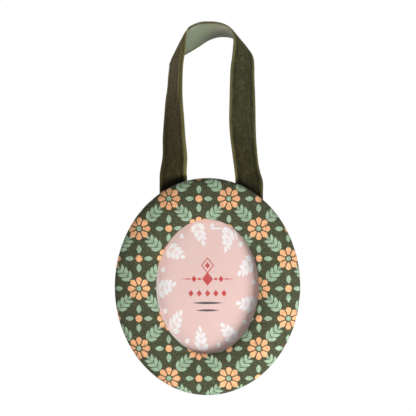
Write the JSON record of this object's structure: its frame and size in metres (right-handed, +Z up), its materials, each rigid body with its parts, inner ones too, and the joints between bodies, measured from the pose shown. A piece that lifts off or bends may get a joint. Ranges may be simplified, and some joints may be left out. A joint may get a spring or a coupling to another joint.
{
  "type": "hanging picture frame ornament",
  "caption": "Small oval picture frame with a padded printed-cloth border and a clear window over a card, hung from a velvet ribbon loop.",
  "frame": {"origin": "middle of the oval on the frame's flat back face", "axes": "+Z up towards the ribbon loop, +X to the right seen from the front, the front faces -Y and the flat back faces +Y"},
  "size_m": [0.085, 0.0123, 0.171],
  "materials": {
    "printed_cloth": "plain-woven cotton, printed",
    "back_cloth": "plain-woven cotton",
    "velvet": "velvet pile on one face, satin on the other",
    "wadding": "soft polyester wadding",
    "greyboard": "matt grey board",
    "card": "printed card, matt",
    "window": "clear plastic sheet"
  },
  "bodies": {
    "root": {"back_cover": "back_cloth", "back_board": "greyboard", "pocket_spacer": "greyboard", "insert_card": "card", "window": "window", "front_board": "greyboard", "front_padding": "wadding", "front_cover": "printed_cloth", "ribbon": "velvet"}
  },
  "joints": []
}
